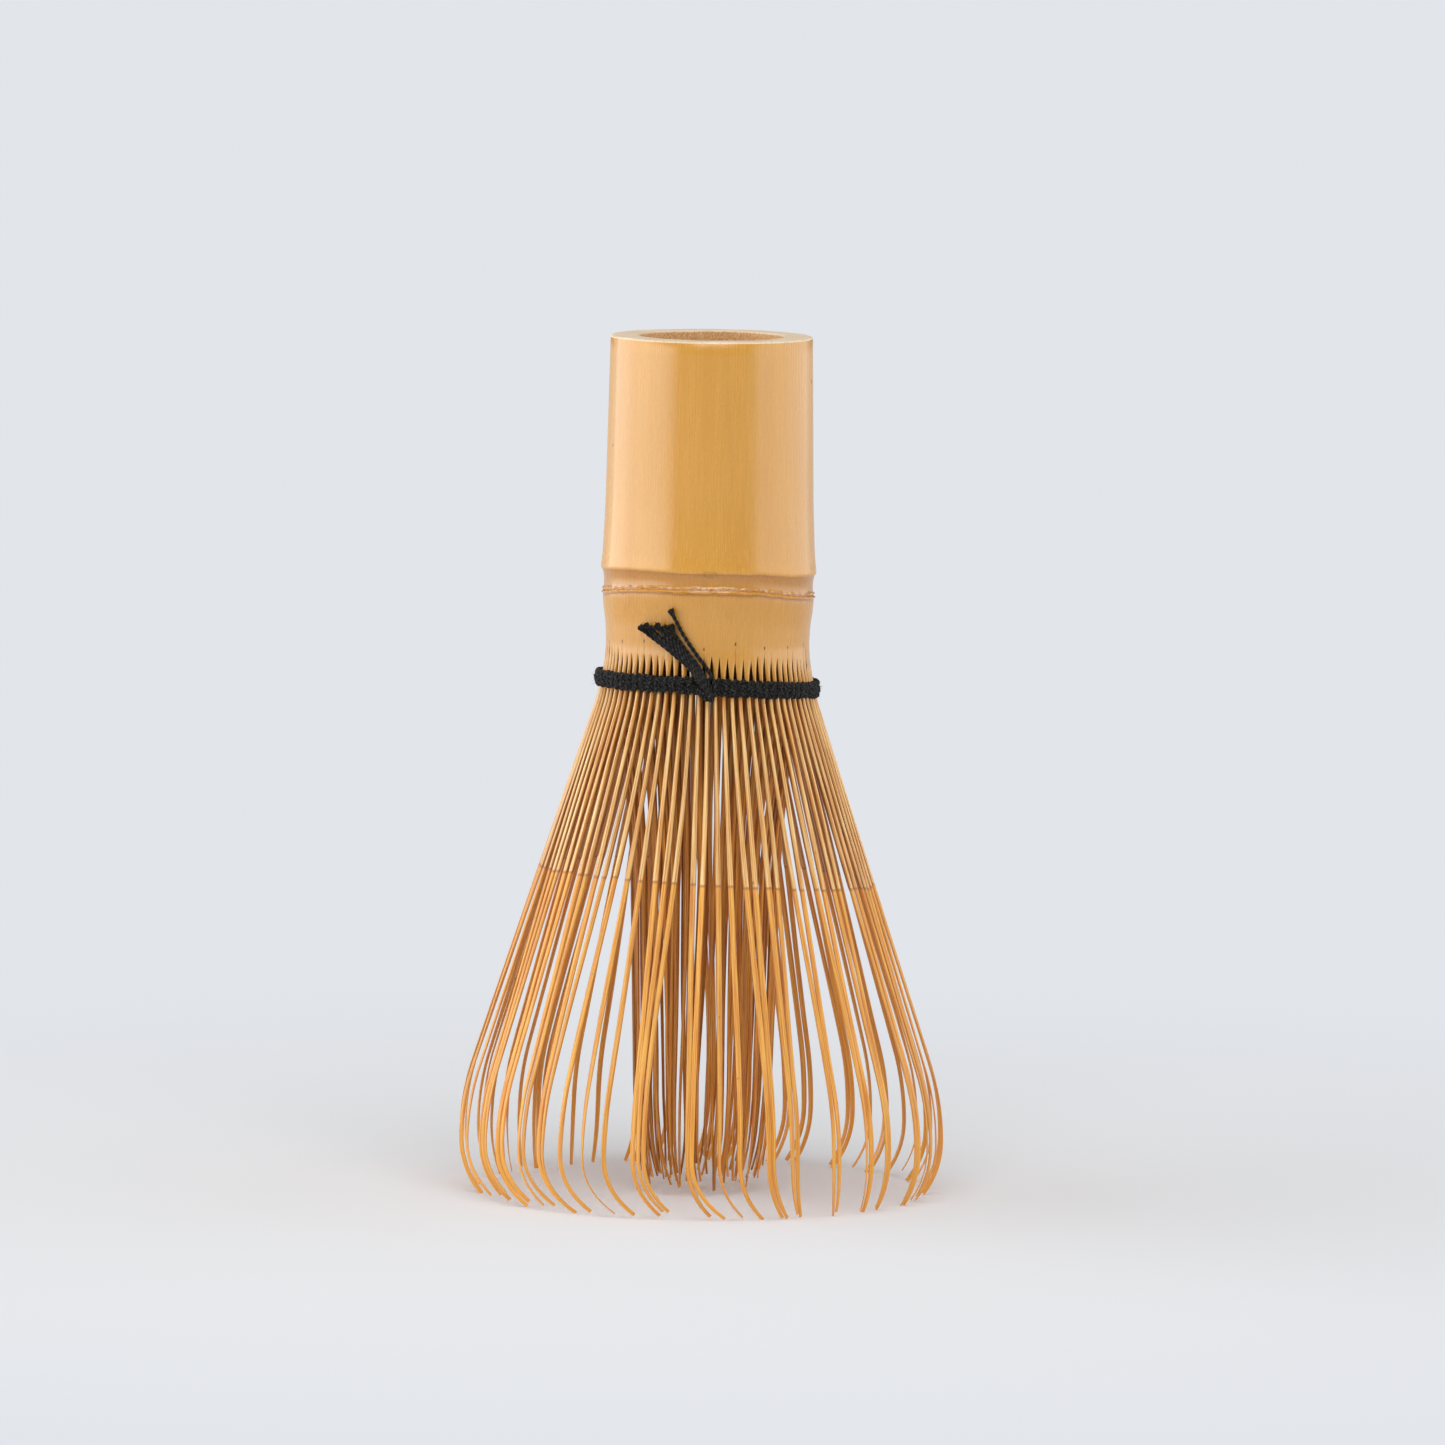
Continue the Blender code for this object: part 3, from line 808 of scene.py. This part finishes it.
# The outer tines' width and depth, by height, in mm
OUTER_WIDTH = ((0, 2, 10, 25, 42, 48, 56, 66), (0.44, 0.53, 0.65, 0.71, 0.71, 0.68, 0.61, 0.51))
OUTER_DEPTH = ((0, 8, 20, 41, 67), (0.13, 0.2, 0.28, 0.38, 0.62))


def swirl_at(angle):
    return np.interp(math.degrees(math.remainder(angle, TURN)), *SWIRL) * MM


def peel_height(angle):
    """Where a tine's skin ends and its shaved part begins."""
    return (41.8 + 0.8 * front_rise(angle) - 1.0 * np.sin(angle) + random.normal(0, 0.08)) * MM


def outer_line(root, belly, number):
    """Angles, radii and heights down an outer tine's skin side."""
    tip = abs(random.normal(0, 0.5)) * MM
    share = (OUTER_HEIGHTS[0] - OUTER_HEIGHTS) / OUTER_HEIGHTS[0]
    height = TINE_TOP - (TINE_TOP - tip) * share
    lean = smooth_step(62.0 * MM, 16.0 * MM, height)
    down = (TINE_TOP - height) / TINE_TOP
    sway = 0.10 * MM * wander(down, 100 + number) * down
    curl = (1 - np.clip(height / (8.8 * MM), 0, 1)) ** 2.5
    swirl = 1.15 * swirl_at(belly) * (1 + random.normal(0, 0.12)) * curl
    radius = outer_radius(height) - 0.25 * MM * down**2 * abs(random.normal())
    radius = radius - curl * max(0.0, random.normal(0.1, 0.25)) * MM
    angle = root + (belly - root) * lean + (sway + swirl) / np.maximum(radius, 14 * MM)
    return angle, radius, height


def outer_section(height, over_peel):
    """An outer tine's width and depth. It is a little thicker over the peel line."""
    width = np.interp(height / MM, *OUTER_WIDTH)
    depth = np.interp(height / MM, *OUTER_DEPTH)
    step = smooth_step(-0.2, 0.2, over_peel)
    width = width + 0.05 * step * smooth_step(14, 0, over_peel)
    return width * (1 + random.normal(0, 0.05)) * MM, (depth + 0.06 * step) * MM


def add_outer_tine(strands, root, belly, number):
    angle, radius, height = outer_line(root, belly, number)
    line = around(angle, radius, height)
    side, out = axes_across(line, around(angle))
    twist = random.normal(0, 0.10) + random.normal(0, 0.5) * smooth_step(30 * MM, 0, height)
    side, out = twisted(side, out, twist * ((TINE_TOP - height) / TINE_TOP))
    over_peel = (height - peel_height(root)) / MM
    width, depth = outer_section(height, over_peel)
    line = line - out * depth[:, None] / 2
    tint = np.clip(random.normal(0.5, 0.25), 0, 1)
    values = {"height": height[:, None] / MM, "over_peel": over_peel[:, None], "tint": tint}
    strands.add(line, side, out, TINE_OUTLINE, width / 2, depth / 2, values | TINE_CORNERS)


def make_outer_tines(section, material):
    strands = Strands()
    middle = section_middle("outer", section)
    first = (section - 1) * TINES_PER_SECTION
    roots = [(SLITS[n] + SLITS[n + 1]) / 2 for n in range(first, first + TINES_PER_SECTION)]
    roots = np.unwrap([middle, *roots])[1:]
    for number, (root, belly) in enumerate(zip(roots, sorted(belly_angles(section, middle)))):
        add_outer_tine(strands, root, belly, first + number)
    name = f"outer_tines_{section:02}"
    made = strands.build(f"outer_tine_group_{section:02}", material, sharp=41)
    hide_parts(name)
    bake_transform(made)
    return made


INNER_HEIGHTS = np.concatenate([
    np.linspace(71.6, 60.0, 7), np.linspace(57.0, 12.0, 16), np.linspace(10.5, 1.2, 12),
]) * MM


def inner_line(root, number):
    """Angles, radii and heights down an inner tine, and each point's share of the way down."""
    tip = random.uniform(0.6, 3.5) * MM
    share = (INNER_HEIGHTS[0] - INNER_HEIGHTS) / (INNER_HEIGHTS[0] - INNER_HEIGHTS[-1])
    height = INNER_HEIGHTS[0] - (INNER_HEIGHTS[0] - tip) * share
    layer = random.uniform(0, 1)
    top, waist, bottom = 12.0 - 0.5 * layer, 10.0 - 1.7 * layer, 9.2 - 1.8 * layer
    radius = np.interp(height / MM, (0, 12, 46, 68), (bottom - 1.0, bottom, waist, top)) * MM
    window = np.array([1, 2, 3, 2, 1]) / 9
    radius = np.convolve(np.pad(radius, 2, "edge"), window, "valid")
    sway = (0.35 * wander(share, 300 + number) * share + random.normal(0, 0.45) * share**2) * MM
    curl = (1 - np.clip(height / (8 * MM), 0, 1)) ** 2
    radius = radius - curl * random.uniform(0.3, 1.4) * MM
    angle = root + (sway + curl * random.normal(0.6, 0.5) * MM) / radius
    return angle, radius, height, share


def add_inner_tine(strands, root, number):
    angle, radius, height, share = inner_line(root, number)
    line = around(angle, radius, height)
    side, out = axes_across(line, around(angle))
    side, out = twisted(side, out, random.normal(0, 0.35) * share)
    width = np.interp(height / MM, (0, 10, 40, 66, 69), (0.28, 0.36, 0.50, 0.70, 0.92)) * MM
    depth = np.interp(height / MM, (0, 10, 66), (0.14, 0.26, 0.42)) * MM
    values = {"height": height[:, None] / MM, "tint": np.clip(random.normal(0.5, 0.25), 0, 1)}
    strands.add(line, side, out, TINE_OUTLINE, width / 2, depth / 2, values | TINE_CORNERS)


def make_inner_tines(section, material):
    strands = Strands()
    middle = section_middle("inner", section)
    for tine in range(TINES_PER_SECTION):
        root = middle + (tine - (TINES_PER_SECTION - 1) / 2) * PITCH + random.normal(0, 0.08) * PITCH
        add_inner_tine(strands, root, section * TINES_PER_SECTION + tine)
    name = f"inner_tines_{section:02}"
    made = strands.build(f"inner_tine_group_{section:02}", material, sharp=41)
    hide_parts(name)
    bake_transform(made)
    return made


# ==== thread ====


def add_yarn(strands, line, hint, radius, ply_length=0.9 * MM, corners=14, closed=False):
    """A two-ply yarn along a line. A ply length under zero winds its plies the other way."""
    side, out = axes_across(line, hint)
    steps = np.linalg.norm(np.diff(line, axis=0), axis=1)
    length = np.concatenate([[0], np.cumsum(steps)])
    turn = np.arange(corners) * TURN / corners
    crest = abs(np.cos(turn[None, :] + length[:, None] * math.pi / ply_length))
    reach = np.reshape(radius, (-1, 1)) * (0.62 + 0.46 * crest)
    sideways = (np.cos(turn) * reach)[..., None] * side[:, None, :]
    outwards = (np.sin(turn) * reach)[..., None] * out[:, None, :]
    strands.sweep(line[:, None, :] + (sideways + outwards), {"crest": crest}, closed)


def add_hair(strands, root, tip, bend, thickness, taper=0.7):
    share = np.linspace(0, 1, 4)[:, None]
    line = root + (tip - root) * share + bend * (share * (1 - share))
    hint = np.broadcast_to(unit(np.array([0.3, 0.5, 0.8])), line.shape)
    side, out = axes_across(line, hint)
    triangle = np.stack([np.cos(np.arange(3) * 2.094), np.sin(np.arange(3) * 2.094)], -1)
    width = thickness * (1 - taper * share[:, 0])
    strands.add(line, side, out, triangle, width, width, {"crest": 0.8})


def course_height(angle):
    return THREAD_HEIGHT + course_slant(angle) + 0.05 * MM * ripple(angle, 31, (2, 9))


def tine_phase(angle):
    """Counts tines round the whisk: a whole number at the middle of each tine."""
    middles = (SLITS[:-1] + SLITS[1:]) / 2
    order = np.concatenate([middles - TURN, middles, middles + TURN])
    return np.interp(angle, order, np.arange(len(order)))


def per_tine(phase, spread, seed):
    """A random amount for each tine, smooth from one to the next."""
    amounts = np.random.default_rng(seed).normal(0, spread, TINES)
    low = np.floor(phase).astype(int)
    share = phase - low
    share = share * share * (3 - 2 * share)
    return amounts[low % TINES] * (1 - share) + amounts[(low + 1) % TINES] * share


def add_stitch_row(strands, row, seed):
    """A row of stitches over the tines. Row 0 is the middle one, and neighbours wind opposite ways."""
    angle = np.linspace(0, TURN, TINES * 14, endpoint=False)
    phase = tine_phase(angle)
    bulge = np.cos(TURN * phase)
    radius = 14.38 + 0.10 * bulge - 0.03 * row**2 + per_tine(phase, 0.07, seed)
    slant = 0.07 * np.sin(TURN * phase) * (1 + per_tine(phase, 0.8, seed + 1))
    height = course_height(angle) + row * ROW_PITCH
    height = height + (slant - 0.05 * row * bulge + per_tine(phase, 0.06, seed + 2)) * MM
    line = around(angle, radius * MM, height)
    thick = (0.285 + 0.02 * bulge + per_tine(2 * phase, 0.02, seed + 3)) * MM
    lay = 0.56 * MM if row % 2 else -0.49 * MM
    add_yarn(strands, line, around(angle), thick, lay, closed=True)


def add_hidden_row(strands, offset):
    """The yarn's way back, between the outer and the inner tines."""
    angle = np.linspace(0, TURN, TINES * 6, endpoint=False)
    bulge = np.cos(TURN * tine_phase(angle))
    line = around(angle, (13.1 - 0.1 * bulge) * MM, course_height(angle) + offset)
    add_yarn(strands, line, around(angle), 0.32 * MM, 0.6 * MM, corners=8, closed=True)


def add_band_fuzz(strands, low, high, seed):
    hairs = np.random.default_rng(seed)
    for _ in range(200):
        where = hairs.uniform(0, TURN)
        level = course_height(where) + hairs.uniform(low, high)
        root = around(where, 14.7 * MM, level)
        heading = where + hairs.normal(0, 0.5)
        away = around(heading, hairs.uniform(0.2, 0.5) * MM, hairs.normal(0, 0.25) * MM)
        add_hair(strands, root, root + away, hairs.normal(0, 0.12, 3) * MM, 0.012 * MM)


def make_course(name, node, rows, seed, material):
    """One course of the weave: its rows of stitches and its hidden way back."""
    strands = Strands()
    for row in rows:
        add_stitch_row(strands, row, seed + 10 * row)
    add_hidden_row(strands, sum(rows) / len(rows) * 0.7 * ROW_PITCH)
    add_band_fuzz(strands, (min(rows) - 0.5) * ROW_PITCH, (max(rows) + 0.5) * ROW_PITCH, seed + 5)
    finish_thread(strands.build(name, material, sharp=80), node)


def finish_thread(made, node):
    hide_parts(node)
    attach(made, "handle")


# The bundle of loose ends, by height in mm: the angles of its left and right edges in degrees
BUNDLE_HEIGHTS = (66.1, 67.6, 69.0, 70.6, 72.2, 73.8, 75.2)
BUNDLE_LEFT = (1.0, -2.1, -5.2, -12.4, -21.4, -31.8, -38.5)
BUNDLE_RIGHT = (2.6, 1.6, -1.1, -6.3, -11.8, -16.8, -20.1)
# The single loose end, by height in mm
SINGLE_HEIGHTS = (66.4, 68.3, 69.6, 70.7, 71.8, 73.1, 74.1, 75.0, 76.0, 77.4)
SINGLE_ANGLES = (3.9, 3.7, 1.1, -2.5, -6.0, -10.0, -13.0, -15.3, -17.0, -20.0)
# Each loose end of the bundle: how far across it lies, how high on the others in mm, and how much
# longer than the mean it is, in mm
BUNDLE = (
    (1.0, 0.0, 0.2), (0.8, 0.12, 0.0), (0.2, 0.12, 0.1),
    (0.62, 0.42, 0.3), (0.4, 0.42, -0.1), (0.0, 0.0, -0.2),
)


def smooth_through(heights, angles, count=110):
    """A rounded line through the given heights and angles, evenly spaced along its length."""
    steps = np.hypot(np.diff(heights), np.diff(angles) * 0.24)
    length = np.concatenate([[0], np.cumsum(steps)])
    even = np.linspace(0, length[-1], count)
    window = np.exp(-0.5 * (np.arange(-9, 10) / 4) ** 2)
    made = []
    for values in (heights, angles):
        spread = np.interp(even, length, values)
        before = 2 * spread[0] - spread[9:0:-1]
        after = 2 * spread[-1] - spread[-2:-11:-1]
        padded = np.concatenate([before, spread, after])
        made.append(np.convolve(padded, window / window.sum(), "valid"))
    return made[0] * MM, np.radians(made[1])


def tail_path(number):
    """Height, angle and lift along a loose end. Number 1 is the single one."""
    if number == 1:
        height, angle = smooth_through(SINGLE_HEIGHTS, SINGLE_ANGLES)
        return height, angle, 0.0
    across, lift, extra = BUNDLE[number - 2]
    angles = np.array(BUNDLE_LEFT) * (1 - across) + np.array(BUNDLE_RIGHT) * across
    heights = np.array(BUNDLE_HEIGHTS)
    heights[-1] += extra
    height, angle = smooth_through(heights, angles)
    return height, angle, lift * MM


def tail_line(number):
    height, angle, lift = tail_path(number)
    share = np.linspace(0, 1, len(height))
    surface = culm_radius(angle, height) + 0.36 * MM
    on_band = 1 - smooth_step(68.4 * MM, 70.3 * MM, height)
    radius = surface * (1 - on_band) + np.maximum(surface, 15.1 * MM) * on_band + lift
    lifted_end = 0.25 * MM * smooth_step(0.8, 1, share)
    radius = radius + lifted_end + 0.05 * MM * wander(share, 60 + number, (2, 7))
    angle = angle + 0.006 * wander(share, 80 + number, (2, 7)) * share
    return around(angle, radius, height), angle


def add_frayed_end(strands, end, onward, seed):
    """A blunt brush of fibres that flares out of a cut yarn."""
    fray = np.random.default_rng(seed)
    for _ in range(220):
        spread = unit(fray.normal(0, 1, 3)) * math.sqrt(fray.uniform(0, 1))
        spread = spread - onward * np.dot(spread, onward)
        root = end - onward * fray.uniform(0.7, 1.1) * MM + spread * 0.2 * MM
        tip = end + onward * fray.normal(0, 0.09) * MM + spread * fray.uniform(0.38, 0.56) * MM
        add_hair(strands, root, tip, fray.normal(0, 0.08, 3) * MM, 0.055 * MM, taper=0.15)


def add_tail_fuzz(strands, line, outward, seed):
    fuzz = np.random.default_rng(seed)
    for _ in range(60):
        place = fuzz.integers(2, len(line) - 2)
        root = line[place] + outward[place] * 0.25 * MM
        tip = root + unit(fuzz.normal(0, 1, 3) + outward[place]) * fuzz.uniform(0.2, 0.5) * MM
        add_hair(strands, root, tip, fuzz.normal(0, 0.1, 3) * MM, 0.012 * MM)


def make_tail(number, material):
    strands = Strands()
    line, angle = tail_line(number)
    outward = around(angle)
    share = np.linspace(0, 1, len(line))
    radius = 0.25 if number == 1 else 0.28
    radius = radius - 0.05 * smooth_step(0.92, 1.0, share) + 0.015 * wander(share, 90 + number, (3, 9))
    add_yarn(strands, line, outward, radius * MM, 0.8 * MM)
    add_frayed_end(strands, line[-1], along(line)[-1], 500 + number)
    add_tail_fuzz(strands, line, outward, 520 + number)
    finish_thread(strands.build(f"thread_end_{number}", material, sharp=80), f"thread_tail_{number}")


# The knot's turns: height at the left and the right end in mm, the angles of both ends in degrees,
# and how far in mm the turn stands out in its middle
KNOT_TURNS = ((66.7, 65.9, -3.6, 3.0, 0.75), (67.3, 66.4, -4.2, 3.6, 0.85))


def make_knot(material):
    """Turns of yarn round the foot of the loose ends, where they come out of the band."""
    strands = Strands()
    share = np.linspace(0, 1, 50)
    sweep = math.pi * share
    for left_height, right_height, left, right, reach in KNOT_TURNS:
        angle = np.radians(left + (right - left) * share)
        height = left_height + (right_height - left_height) * share - 0.2 * np.sin(sweep)
        radius = (14.6 + reach * np.sin(sweep) ** 0.7) * MM
        line = around(angle, radius, height * MM)
        add_yarn(strands, line, around(angle), 0.27 * MM, 0.5 * MM)
    finish_thread(strands.build("thread_knot_wrap", material, sharp=80), "thread_knot")


# ==== stage ====

BACKDROP = srgb(226, 229, 234)
FLOOR_COLOUR = srgb(243, 244, 246)
UNSEEN_LIGHT = (0.93, 0.96, 1.0, 1.0)
WORLD_STRENGTH = 0.2
FLOOR_BOUNCE = 0.75
# How far out the floor is still lit, and from where it is as plain as the backdrop
LIT_FLOOR, PLAIN_FLOOR = 0.05, 0.26
# The lights: angle round the whisk in degrees, distance and height, width and height of the panel,
# and power in watts
SOFTBOXES = {
    "softbox_left": (-92, 0.9, 0.24, 2.0, 0.7, 10.2),
    "softbox_right": (97, 1.0, 0.24, 2.0, 0.7, 6.2),
    "softbox_top": (6, 0.75, 1.15, 1.2, 1.2, 11.6),
}
CAMERA_PLACE = Vector((0.0021, -1.44, 0.193))
CAMERA_TARGET = Vector((0.0021, 0.0, 0.0617))
CAMERA_LENS = 275.4
CAMERA_ROLL = math.radians(0.8)


def seen_or_unseen(tree, kind, unseen_strength):
    """The backdrop's colour to the camera, and a dimmer light to the rest."""
    seen = add_node(tree, kind, {"Color": BACKDROP, "Strength": 1.0}).outputs[0]
    unseen = add_node(tree, kind, {"Color": UNSEEN_LIGHT, "Strength": unseen_strength}).outputs[0]
    camera_ray = add_node(tree, "LightPath").outputs["Is Camera Ray"]
    return add_node(tree, "MixShader", {0: camera_ray, 1: unseen, 2: seen}).outputs[0]


def floor_mesh():
    """A wide round floor, in rings that are finer near the whisk."""
    sides = 64
    radii = [0.0005, 0.05, 0.1, 0.2, 0.35, 0.6, 1.0, 1.6, 3.0, 8.0, 20.0]
    turns = np.arange(sides) * TURN / sides
    points = np.concatenate([around(turns, radius, np.zeros(sides)) for radius in radii])
    faces = [tuple(range(sides))]
    for ring in range(len(radii) - 1):
        inner, outer = ring * sides, (ring + 1) * sides
        for n in range(sides):
            after = (n + 1) % sides
            faces.append((inner + n, outer + n, outer + after, inner + after))
    return points, faces


def make_floor():
    """A pale floor that turns into the backdrop's own colour away from the whisk."""
    made = bpy.data.materials.new("pale_floor")
    made.use_nodes = True
    tree = made.node_tree
    tree.nodes.clear()
    place = add_node(tree, "TexCoord").outputs["Object"]
    distance = add_node(tree, "VectorMath", {0: place}, operation="LENGTH").outputs["Value"]
    reach = {"Value": distance, "From Min": LIT_FLOOR, "From Max": PLAIN_FLOOR}
    far = add_node(tree, "MapRange", reach, interpolation_type="SMOOTHSTEP").outputs["Result"]
    near = add_node(tree, "BsdfDiffuse", {"Color": FLOOR_COLOUR}).outputs[0]
    plain = seen_or_unseen(tree, "Emission", FLOOR_BOUNCE)
    mixed = add_node(tree, "MixShader", {0: far, 1: near, 2: plain})
    add_node(tree, "OutputMaterial", {"Surface": mixed.outputs[0]})
    add_mesh("floor", *floor_mesh(), made)


def make_world():
    """Pale to look at, and dimmer as a light."""
    world = bpy.data.worlds.new("studio")
    world.use_nodes = True
    tree = world.node_tree
    tree.nodes.clear()
    add_node(tree, "OutputWorld", {"Surface": seen_or_unseen(tree, "Background", WORLD_STRENGTH)})
    bpy.context.scene.world = world


def add_softbox(name, azimuth, distance, height, width, tall, power):
    """An area light that faces the whisk and isn't seen by the camera."""
    data = bpy.data.lights.new(name, "AREA")
    data.shape = "RECTANGLE"
    data.size, data.size_y = width, tall
    data.energy = power
    light = bpy.data.objects.new(name, data)
    light.location = Vector(around(math.radians(azimuth), distance, height).tolist())
    towards = Vector((0, 0, 0.06)) - light.location
    light.rotation_euler = towards.to_track_quat("-Z", "Y").to_euler()
    light.visible_camera = False
    bpy.context.scene.collection.objects.link(light)


def make_lights():
    for name, settings in SOFTBOXES.items():
        add_softbox(name, *settings)


def make_camera():
    data = bpy.data.cameras.new("camera")
    data.sensor_width = 36.0
    data.lens = CAMERA_LENS
    data.clip_start, data.clip_end = 0.01, 100.0
    camera = bpy.data.objects.new("camera", data)
    look = (CAMERA_TARGET - CAMERA_PLACE).to_track_quat("-Z", "Y").to_matrix().to_4x4()
    camera.matrix_world = Matrix.Translation(CAMERA_PLACE) @ look @ Matrix.Rotation(CAMERA_ROLL, 4, "Z")
    bpy.context.scene.collection.objects.link(camera)
    bpy.context.scene.camera = camera


def main():
    bpy.context.scene.view_settings.view_transform = "Standard"
    make_camera()
    make_world()
    make_lights()
    make_floor()
    skin, flesh = make_skin(), make_flesh()
    culm = make_culm(skin, flesh)
    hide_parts("handle")
    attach(culm, "handle")
    outer, inner, cotton = make_outer_bamboo(), make_inner_bamboo(), make_cotton()
    for section in range(1, SECTIONS + 1):
        make_outer_tines(section, outer)
        make_inner_tines(section, inner)
    make_course("thread_course_upper", "thread_upper_course", (0, 1, 2), 141, cotton)
    make_course("thread_course_lower", "thread_lower_course", (-1, -2), 191, cotton)
    make_knot(cotton)
    for number in range(1, len(BUNDLE) + 2):
        make_tail(number, cotton)


main()
